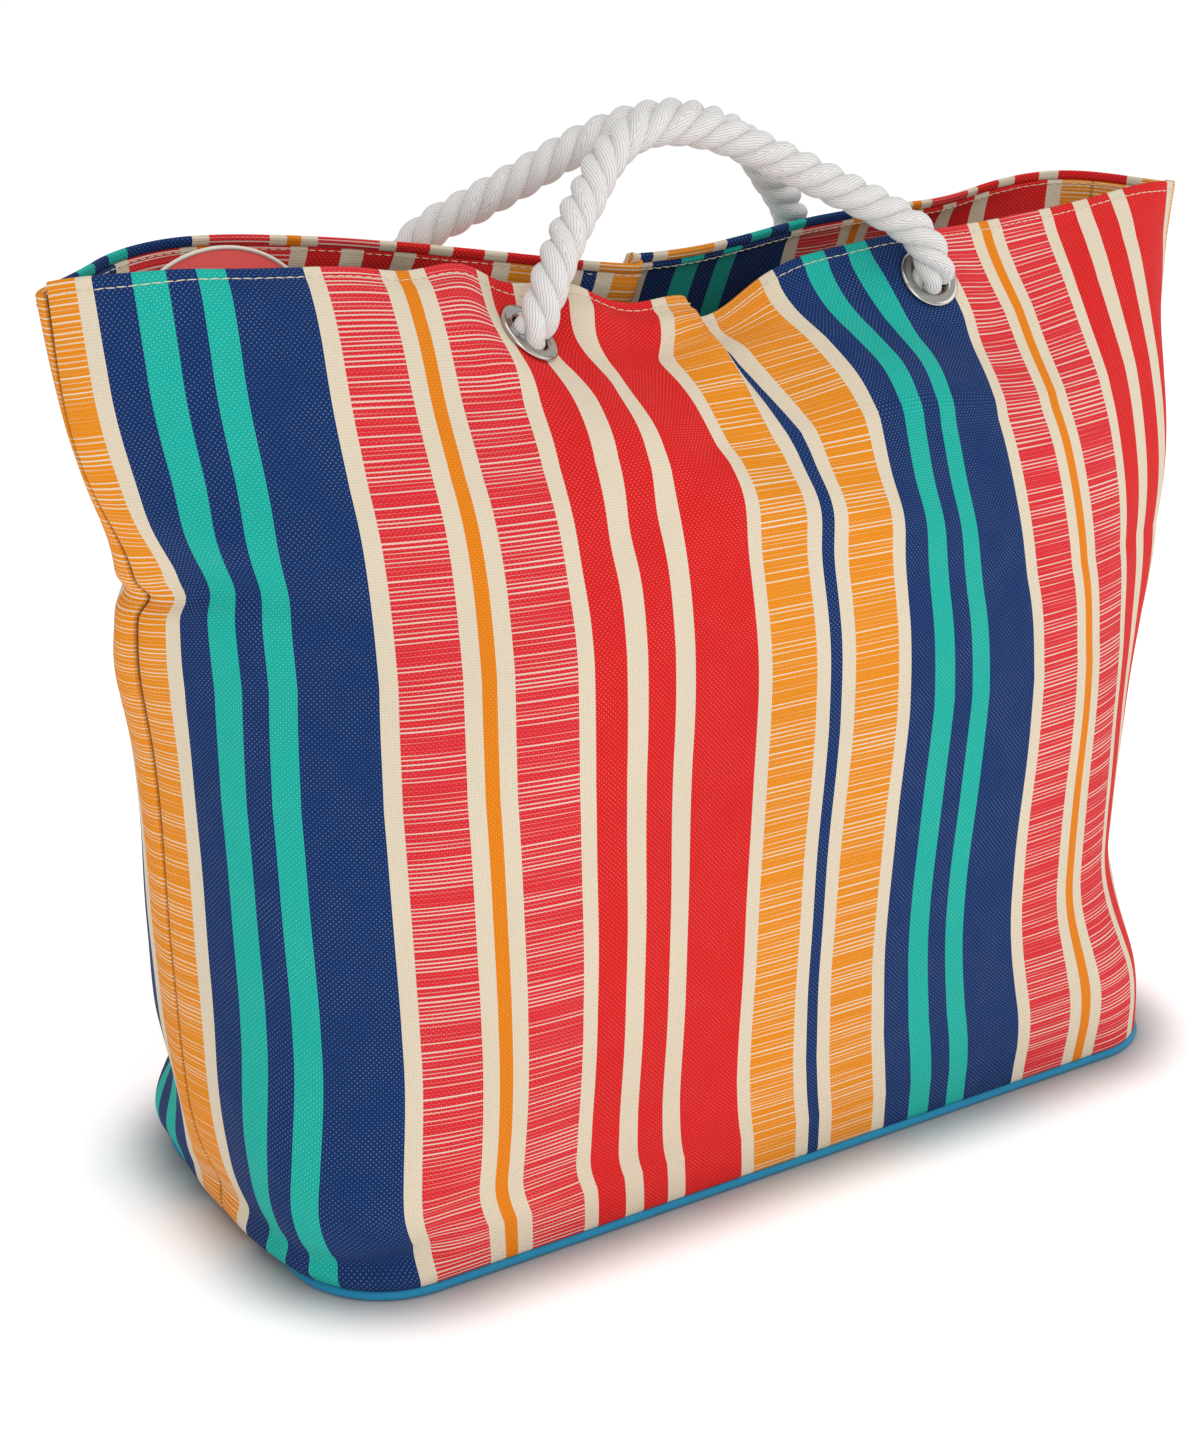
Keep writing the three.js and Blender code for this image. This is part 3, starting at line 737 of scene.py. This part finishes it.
def plain_canvas(name, base, over, period_across=THREAD_ACROSS, period_up=THREAD_UP, use_uv=True):
    """A one-colour woven cloth with lighter threads on top."""
    nodes = Nodes(name)
    if use_uv:
        u, v = nodes.uv()
    else:
        split = nodes.add("ShaderNodeSeparateXYZ", {0: nodes.place()})
        u, v = split.outputs[0], split.outputs[1]
    across = nodes.wave(u, period_across)
    crossing = nodes.math("MULTIPLY", across, nodes.wave(v, period_up))
    dots = nodes.step(crossing, 0.2, 0.9)
    patchy = nodes.noise(nodes.place(), 30.0, 4.0)
    colour = nodes.mix(nodes.math("MULTIPLY", dots, 0.6), base, over)
    colour = nodes.mix(nodes.math("MULTIPLY", patchy, 0.12), colour, (0.05, 0.05, 0.05))
    nodes.bump(nodes.math("ABSOLUTE", crossing), 0.14, 0.6)
    return nodes.finish(Base_Color=colour, Roughness=0.82, Sheen_Weight=0.1)


def smooth_cloth(name, base, deeper):
    """A fine plain cloth or thread with deeper patches."""
    nodes = Nodes(name)
    fine = nodes.noise(nodes.place(), 900.0, 3.0)
    wide = nodes.noise(nodes.place(), 35.0, 3.0)
    colour = nodes.mix(nodes.math("MULTIPLY", wide, 0.35), base, deeper)
    nodes.bump(fine, 0.1, 0.5)
    return nodes.finish(Base_Color=colour, Roughness=0.7, Sheen_Weight=0.2)


def cotton_rope():
    nodes = Nodes("cotton rope")
    u, v = nodes.uv()
    # yarns lie side by side on each strand and twist the other way
    slant = nodes.math("ADD", u, nodes.math("MULTIPLY", v, 0.35))
    wobble = nodes.noise(nodes.place(), 160.0, 3.0)
    slant = nodes.math("ADD", slant, nodes.math("MULTIPLY", wobble, 0.0012))
    yarns = nodes.wave(slant, 1.5)
    fibres = nodes.noise(nodes.place(), 1500.0, 3.0)
    # painted shade: the rope is darker grey in the grooves between its yarns
    colour = nodes.mix(nodes.step(yarns, -1.0, -0.2), (0.50, 0.49, 0.475), (0.80, 0.79, 0.775))
    tint = nodes.noise(nodes.place(), 28.0, 2.0)
    colour = nodes.mix(nodes.math("MULTIPLY", tint, 0.14), colour, (0.78, 0.66, 0.62))
    height = nodes.math("ADD", nodes.math("MULTIPLY", yarns, 0.35), fibres)
    nodes.bump(height, 0.32, 0.8)
    return nodes.finish(Base_Color=colour, Roughness=0.92, Sheen_Weight=0.35, Sheen_Roughness=0.6)


def nickel():
    nodes = Nodes("polished nickel")
    smears = nodes.noise(nodes.place(), 260.0, 4.0)
    scratches = nodes.noise(nodes.place(), 1600.0, 2.0)
    colour = nodes.mix(smears, (0.42, 0.40, 0.37), (0.60, 0.57, 0.53))
    rough = nodes.math("MULTIPLY_ADD", smears, 0.14)
    rough.node.inputs[2].default_value = 0.04
    nodes.bump(scratches, 0.02, 0.25)
    return nodes.finish(Base_Color=colour, Metallic=1.0, Roughness=rough)


def grey_board():
    nodes = Nodes("grey board")
    pulp = nodes.noise(nodes.place(), 420.0, 5.0)
    colour = nodes.mix(pulp, (0.20, 0.18, 0.16), (0.32, 0.29, 0.26))
    nodes.bump(pulp, 0.1, 0.4)
    return nodes.finish(Base_Color=colour, Roughness=0.9)


CANVAS = striped_canvas()
NAVY = plain_canvas("navy canvas", COLOURS["navy"], (0.12, 0.17, 0.30))
NAVY_FLAT = plain_canvas("navy base canvas", COLOURS["navy"], (0.12, 0.17, 0.30), use_uv=False)
LINING = plain_canvas("cream lining", (0.76, 0.68, 0.55), (0.84, 0.77, 0.65), 1.2, 1.2)
PIPING = plain_canvas("blue piping", (0.0, 0.235, 0.44), (0.02, 0.36, 0.58), 1.1, 1.1)
CORAL = smooth_cloth("coral cloth", (1.0, 0.13, 0.115), (0.86, 0.07, 0.07))
BINDING = smooth_cloth("cream binding", (0.86, 0.80, 0.70), (0.74, 0.66, 0.54))
THREAD = smooth_cloth("cream thread", (0.72, 0.64, 0.46), (0.56, 0.46, 0.30))
ROPE = cotton_rope()
NICKEL = nickel()
BOARD = grey_board()


# ---------------------------------------------------------------- cloth pieces

COLUMN_STEP = 2.2
ROW_STEP = 2.4


def across_columns():
    """Columns over a panel, with closer ones where its edges turn in at the side seams."""
    middle = np.linspace(2.5, CLOTH_WIDTH - 2.5, round(CLOTH_WIDTH / COLUMN_STEP))
    edge = np.array([0, 0.15, 0.45, 0.9, 1.5])
    return np.concatenate((edge, middle, (CLOTH_WIDTH - edge)[::-1]))


def seam_tuck(across):
    """The cloth turns in at each side seam."""
    near = np.clip(1 - np.minimum(across, CLOTH_WIDTH - across) / 1.6, 0, 1)
    return 1.9 * (1 - np.sqrt(1 - np.minimum(near, 0.999) ** 2))


def cloth_sheet(name, side, path, material, shift=0.0, hole=True):
    """A sheet that follows a panel. path holds (up, depth) pairs from its first edge to its last."""
    panel = PANELS[side]
    across = across_columns()[None, :]
    up, depth = np.array(path, float).T[:, :, None]
    points = panel.at(across, up, depth + seam_tuck(across))
    run = np.concatenate(([0], np.cumsum(np.linalg.norm(np.diff(path, axis=0), axis=1))))
    first_up = path[0][0]
    sign = 1 if path[-1][0] > path[0][0] else -1
    along = (first_up + sign * run)[:, None]
    uv = np.stack(np.broadcast_arrays(across + shift, along), axis=-1)
    rows, columns = points.shape[:2]
    faces = grid_faces(rows, columns)
    if side == "back":
        faces = faces[:, ::-1]
    if hole:
        centres = points.reshape(-1, 3)[faces].mean(axis=1)
        for eyelet in EYELETS:
            if eyelet.side == side:
                offset = centres - eyelet.origin
                off_axis = offset - np.outer(offset @ eyelet.out, eyelet.out)
                faces = faces[np.linalg.norm(off_axis, axis=1) > EYELET_BARREL / 2 + 0.5]
                centres = points.reshape(-1, 3)[faces].mean(axis=1)
    return make_mesh(name, points, faces, uv, material)


def panel_path():
    """Up the outer face, over the rim and a little way down inside."""
    path = [(-1.6, 2.4), (-0.9, 1.1), (0.2, 0.4), (1.6, 0.05)]
    top = CLOTH_HEIGHT - ROLL_RADIUS
    path += [(up, 0.0) for up in np.linspace(4, top, round(CLOTH_HEIGHT / ROW_STEP))]
    for angle in np.radians(np.arange(20, 181, 20)):
        path.append((top + ROLL_RADIUS * math.sin(angle), ROLL_RADIUS * (1 - math.cos(angle))))
    inside = 2 * ROLL_RADIUS
    path += [
        (top - 1.2, inside), (CLOTH_HEIGHT - ROLL_DEPTH + 0.7, inside),
        (CLOTH_HEIGHT - ROLL_DEPTH, inside - 0.5), (CLOTH_HEIGHT - ROLL_DEPTH - 0.3, inside - 1.4),
    ]
    return path


def facing_path():
    """Down the inside from the rolled edge to the facing's hem."""
    top, bottom = CLOTH_HEIGHT - ROLL_DEPTH - 0.2, CLOTH_HEIGHT - FACING_DEPTH
    depth = 2 * ROLL_RADIUS
    path = [(top, depth - 1.4), (top - 0.5, depth - 0.4), (top - 1.3, depth)]
    path += [(up, depth) for up in np.linspace(top - 3, bottom + 2, 26)]
    path += [(bottom + 0.5, depth - 0.2), (bottom, depth - 0.9), (bottom + 0.6, depth - 1.6)]
    return path


def lining_path():
    depth = 2.3
    return [(up, depth) for up in np.linspace(6, CLOTH_HEIGHT - FACING_DEPTH + 3, 90)]


def stitches(name, side, up, depth, out_side):
    """A row of short raised stitches across a panel at one height."""
    pitch, length, radius = 4.5, 4.0, 0.29
    panel = PANELS[side]
    starts = np.arange(3.0, CLOTH_WIDTH - 3.0 - length, pitch)
    t = np.linspace(0, 1, 7)
    arch = 0.4 * np.sin(math.pi * t)
    tubes = []
    for k, start in enumerate(starts):
        lean = 0.35 * math.sin(1.7 * k)
        height = np.full_like(t, up) + lean * (t - 0.5)
        near = panel.at(start + length * t, height, depth)
        sink = (arch - 0.16) * (1 if out_side else -1)
        line = panel.at(start + length * t, height, depth - sink)
        blocked = any(
            eyelet.side == side
            and np.linalg.norm(near.mean(axis=0) - eyelet.origin) < EYELET_OUTSIDE / 2 + 1
            for eyelet in EYELETS)
        if not blocked:
            tubes.append(tube(line, radius * (0.45 + 0.55 * np.sin(math.pi * np.clip(t, 0.08, 0.92))), 6))
    points, faces, uvs = joined_tubes(tubes)
    return make_mesh(name, points, faces, uvs, THREAD)


for side in SIDES:
    outer = cloth_sheet(f"{side}_canvas_panel", side, panel_path(), CANVAS)
    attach(outer, "bag")
    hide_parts(f"{side}_panel")

    facing = cloth_sheet(f"{side}_canvas_facing", side, facing_path(), CANVAS, shift=FACING_SHIFT)
    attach(facing, "bag")
    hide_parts(f"{side}_facing")

    lining = cloth_sheet(f"{side}_cloth_lining", side, lining_path(), LINING, hole=False)
    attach(lining, "bag")
    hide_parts(f"{side}_lining")

    stitch_up = CLOTH_HEIGHT - STITCH_BELOW_RIM
    rows = {
        "rim_stitches": (stitch_up, 0.0, True),
        "facing_stitches": (stitch_up - 1.5, 2 * ROLL_RADIUS, False),
        "hem_stitches": (CLOTH_HEIGHT - FACING_DEPTH + 4, 2 * ROLL_RADIUS, False),
    }
    for name, (up, depth, out_side) in rows.items():
        row = stitches(f"{side}_{name}", side, up, depth, out_side)
        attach(row, "bag")


# ---------------------------------------------------------------- base

def base_outline(inset, step=4.0):
    """Points round the base at an inset from its edge."""
    x, y, r = BASE_LENGTH / 2 - inset, BASE_WIDTH / 2 - inset, BASE_CORNER - inset
    points = []
    for k, (sx, sy) in enumerate(((1, 1), (-1, 1), (-1, -1), (1, -1))):
        for angle in np.linspace(k * math.pi / 2, (k + 1) * math.pi / 2, 15):
            points.append((sx * (x - r) + r * math.cos(angle), sy * (y - r) + r * math.sin(angle), 0.0))
    points = np.array(points + points[:1])
    return resample(points, step)[:-1]


def ring_tube(path, radius, sides):
    """Rings of a closed round tube along a closed level path."""
    tangent = unit(np.roll(path, -1, axis=0) - np.roll(path, 1, axis=0))
    side = np.cross(tangent, UP)
    angle = np.linspace(0, 2 * math.pi, sides, endpoint=False)[None, :, None]
    return path[:, None] + radius * (np.cos(angle) * side[:, None] + np.sin(angle) * UP)


piping_path = base_outline(PIPING_INSET, 2.0) + UP * PIPING_DIAMETER / 2
rings = ring_tube(piping_path, PIPING_DIAMETER / 2, 14)
rings = np.concatenate((rings, rings[:1]))
around = np.concatenate(([0], np.cumsum(np.linalg.norm(np.diff(
    np.vstack((piping_path, piping_path[:1])), axis=0), axis=1))))
piping_uv = np.stack(np.broadcast_arrays(
    around[:, None], np.abs(np.arange(14) - 7)[None, :] * 1.0), axis=-1)
piping = make_mesh(
    "piping_cord", rings, grid_faces(len(rings), 14, around=True)[:, ::-1], piping_uv, PIPING)
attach(piping, "bag")
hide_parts("base_piping")


def pillowed_plate(name, inset, level, sag, material):
    """A cloth over the base that dips a little between its edges."""
    edge = base_outline(inset, 6.0)
    rings = []
    for k in np.linspace(0, 1, 14):
        ring = edge[:, :2] * (1 - k)
        wave = 0.5 * np.sin(ring[:, 0] / 41) * np.sin(ring[:, 1] / 33)
        rings.append(np.column_stack((ring, level - sag * smooth(k * 2) + wave * smooth(k * 3))))
    rings = np.array(rings)
    faces = grid_faces(len(rings), rings.shape[1], around=True)
    return make_mesh(name, rings, faces, rings[..., :2], material)


FLOOR_CLOTH_INSET = 4.5
floor_cloth = pillowed_plate("floor_cloth", FLOOR_CLOTH_INSET, 7.2, 0.6, LINING)
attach(floor_cloth, "bag")
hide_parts("base_lining")

for name, material in (("base_panel", NAVY_FLAT), ("base_board", BOARD)):
    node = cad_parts[name]
    node.data.materials.clear()
    node.data.materials.append(material)


# ---------------------------------------------------------------- pouch

HEM_RADIUS = 0.9


def pouch_leaf(name, half_width, centre, material, node):
    """An oval leaf with a soft crown. Its bound edge is a separate roll of cloth."""
    half_height = half_width * 0.82
    angle = np.linspace(0, 2 * math.pi, 72, endpoint=False)
    rings = []
    for k in np.linspace(1, 0, 12):
        crown = -1.0 * (1 - k * k) + 0.25 * np.sin(3 * angle) * k * (1 - k)
        rings.append(np.column_stack((
            centre[0] + (half_width - HEM_RADIUS) * k * np.cos(angle),
            centre[1] + crown,
            centre[2] + (half_height - HEM_RADIUS) * k * np.sin(angle))))
    rings = np.array(rings)
    leaf = make_mesh(name, rings, grid_faces(12, 72, around=True), rings[..., [0, 2]], material)
    edge = np.column_stack((
        centre[0] + (half_width - HEM_RADIUS) * np.cos(angle),
        np.full(72, centre[1]),
        centre[2] + (half_height - HEM_RADIUS) * np.sin(angle)))
    edge_out = unit(edge - np.array(centre))
    turn = np.linspace(0, 2 * math.pi, 10, endpoint=False)[None, :, None]
    hem = edge[:, None] + HEM_RADIUS * (
        np.cos(turn) * edge_out[:, None] + np.sin(turn) * np.array([0, 1.0, 0]))
    hem = np.concatenate((hem, hem[:1]))
    binding = make_mesh(f"{name}_hem", hem, grid_faces(len(hem), 10, around=True), None, BINDING)
    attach(leaf, "bag")
    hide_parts(node)
    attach(binding, "bag")
    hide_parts(f"{node}_binding")
    return leaf


coral_leaf = pouch_leaf("pouch_leaf_front", 43, (-224, 24, 414), CORAL, "pouch_front")
navy_leaf = pouch_leaf("pouch_leaf_back", 35, (-232, 30, 410), NAVY, "pouch_back")


# ---------------------------------------------------------------- eyelets

def arc_pairs(radius, height, size, start, end, count):
    """(radius, height) pairs on an arc of a turned profile."""
    angles = np.radians(np.linspace(start, end, count))
    return [(radius + size * math.cos(a), height + size * math.sin(a)) for a in angles]


flange = EYELET_OUTSIDE / 2
hole = EYELET_HOLE / 2
EYELET_PAIRS = (
    [(EYELET_BARREL / 2, 0.2), (flange - 1.2, 0.2)]
    + arc_pairs(flange - 1.1, 1.2, 1.1, -80, 75, 8)
    + [(flange - 2.2, 2.35), (flange - 3.4, 2.3)]
    + arc_pairs(hole + 1.7, 0.7, 1.7, 85, 180, 9)
    + [(hole, -1.5), (hole, -5.6), (hole + 0.5, -6.0), (EYELET_BARREL / 2, -6.0)]
)
WASHER_PAIRS = (
    [(EYELET_BARREL / 2 + 0.3, -3.8), (flange - 0.4, -3.8)]
    + arc_pairs(flange - 0.5, -4.3, 0.5, 80, -80, 6)
    + [(EYELET_BARREL / 2 + 0.8, -4.9), (EYELET_BARREL / 2 + 0.3, -4.5)]
)
for eyelet in EYELETS:
    for kind, pairs in (("eyelet", EYELET_PAIRS), ("washer", WASHER_PAIRS)):
        closed = list(pairs) + [pairs[0]]
        rings = turned(closed, 64, eyelet.origin, eyelet.out)
        ring = make_mesh(
            f"{eyelet.name}_{kind}_ring", rings, grid_faces(len(rings), 64, around=True), None, NICKEL)
        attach(ring, "bag")
        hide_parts(f"{eyelet.name}_{kind}")


# ---------------------------------------------------------------- ropes and knots

STRAND_RADIUS = 4.3
STRAND_OFFSET = 4.8


def rope_strands(path, offset, radius, pitch, sides=16):
    """Three strands laid round a path. offset and radius may change along it."""
    _, side, other = carried_frames(path)
    run = np.concatenate(([0], np.cumsum(np.linalg.norm(np.diff(path, axis=0), axis=1))))
    offset = np.broadcast_to(np.asarray(offset, float), (len(path),))[:, None]
    strands = []
    for k in range(3):
        turn = (-2 * math.pi * run / pitch + 2 * math.pi * k / 3)[:, None]
        centre = path + offset * (np.cos(turn) * side + np.sin(turn) * other)
        strands.append(tube(centre, radius, sides))
    return strands


for side in SIDES:
    left, right = (eyelet for eyelet in EYELETS if eyelet.side == side)
    middle = (left.axis_point + right.axis_point) / 2
    along = unit(right.axis_point - left.axis_point)
    lean = math.radians(HANDLE_LEAN[side])
    above = np.array([0, math.sin(lean), math.cos(lean)])
    above = unit(above - along * (above @ along))
    route = [left.origin - 9 * left.out, left.origin, left.origin + 7 * left.plain_out]
    route += [middle + along * u + above * w for u, w in HANDLE_ROUTES[side]]
    route += [right.origin + 7 * right.plain_out, right.origin, right.origin - 9 * right.out]
    path = spline(route, 1.4)
    length = float(np.linalg.norm(np.diff(path, axis=0), axis=1).sum())
    points, faces, uvs = joined_tubes(rope_strands(path, STRAND_OFFSET, STRAND_RADIUS, ROPE_PITCH))
    handle = make_mesh(f"{side}_handle_rope", points, faces, uvs, ROPE)
    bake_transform(handle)
    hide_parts(f"{side}_rope_handle", f"{left.name}_rope_end", f"{right.name}_rope_end")

for eyelet in EYELETS:
    top = eyelet.origin - 12 * eyelet.out
    hang = unit(-UP - 0.45 * eyelet.out)
    length = KNOT_DIAMETER * 0.81 + TAIL_LENGTH
    path = spline([top + hang * length * f for f in np.linspace(0, 1, 9)], 1.0)
    f = np.linspace(0, 1, len(path))
    knot_share = KNOT_DIAMETER * 0.9 / length
    swell = np.sin(math.pi * np.clip(f / knot_share, 0, 1)) ** 0.7
    core = rope_strands(path, 3.9 + 0.6 * f, 4.6, ROPE_PITCH)
    wraps = rope_strands(
        path[f <= knot_share], 5.0 + 5.6 * swell[f <= knot_share], 5.0, 21)
    points, faces, uvs = joined_tubes(core + wraps)
    knot = make_mesh(f"{eyelet.name}_rope_knot", points, faces, uvs, ROPE)
    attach(knot, "bag")
    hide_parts(f"{eyelet.name}_knot")


# ---------------------------------------------------------------- stage, light and camera

FLOOR_SIZE = 40000
floor = make_mesh(
    "floor", [(-FLOOR_SIZE, -FLOOR_SIZE, 0), (FLOOR_SIZE, -FLOOR_SIZE, 0),
              (FLOOR_SIZE, FLOOR_SIZE, 0), (-FLOOR_SIZE, FLOOR_SIZE, 0)], [(0, 1, 2, 3)])
paper = Nodes("pale floor")
grain = paper.noise(paper.place(), 3.0, 2.0)
# the paper glows white except close round the base, where it does not glow and its colour is darkened: a
# painted contact shadow round the bag
split = paper.add("ShaderNodeSeparateXYZ", {0: paper.place()})
beyond = [
    paper.math("MAXIMUM", paper.math("SUBTRACT", paper.math("ABSOLUTE", socket), (size / 2 - 60) * MM), 0.0)
    for socket, size in ((split.outputs[0], BASE_LENGTH), (split.outputs[1], BASE_WIDTH))]
away = paper.math("SQRT", paper.math(
    "ADD", paper.math("POWER", beyond[0], 2.0), paper.math("POWER", beyond[1], 2.0)))
glow = paper.mix(paper.step(away, 60 * MM, 115 * MM), (0.0, 0.0, 0.0), (1.0, 1.0, 1.0))
pale = paper.mix(grain, (0.86, 0.86, 0.86), (0.88, 0.88, 0.88))
# painted contact shadow: near the base the floor's colour darkens to a grey of 0.34
floor.data.materials.append(paper.finish(
    Base_Color=paper.mix(paper.step(away, 52 * MM, 98 * MM), (0.34, 0.34, 0.34), pale), Roughness=0.9,
    Emission_Color=glow, Emission_Strength=0.46))

scene = bpy.context.scene
scene.view_settings.view_transform = "Standard"
world = bpy.data.worlds.new("studio")
world.use_nodes = True
world.node_tree.nodes["Background"].inputs["Color"].default_value = (1, 1, 1, 1)
world.node_tree.nodes["Background"].inputs["Strength"].default_value = 0.62
scene.world = world


def softbox(name, place, target, size, power):
    light = bpy.data.lights.new(name, "AREA")
    light.shape = "RECTANGLE"
    light.size, light.size_y = size
    light.energy = power
    holder = bpy.data.objects.new(name, light)
    holder.location = place
    holder.rotation_euler = (Vector(target) - Vector(place)).to_track_quat("-Z", "Y").to_euler()
    scene.collection.objects.link(holder)


softbox("key", (-1.2, -2.6, 1.35), (0, 0, 0.25), (1.6, 1.6), 17.5)
softbox("fill", (2.4, -1.4, 1.2), (0, 0, 0.25), (1.4, 1.8), 8)
softbox("top", (0.1, -0.7, 2.6), (0, 0.05, 0.4), (1.6, 1.6), 12)

CAMERA_TURN = math.radians(-33)
CAMERA_RISE = math.radians(19.96)
CAMERA_PLACE = (-0.6573, -0.9405, 0.6148)
CAMERA_LENS = 61.25
back = Vector((
    math.sin(CAMERA_TURN) * math.cos(CAMERA_RISE),
    -math.cos(CAMERA_TURN) * math.cos(CAMERA_RISE),
    math.sin(CAMERA_RISE)))
right = Vector((math.cos(CAMERA_TURN), math.sin(CAMERA_TURN), 0))
above = back.cross(right)
camera_data = bpy.data.cameras.new("camera")
camera_data.sensor_width = 36
camera_data.lens = CAMERA_LENS
camera_data.clip_start = 0.02
camera = bpy.data.objects.new("camera", camera_data)
camera.matrix_world = Matrix.Translation(CAMERA_PLACE) @ Matrix((right, above, back)).transposed().to_4x4()
scene.collection.objects.link(camera)
scene.camera = camera
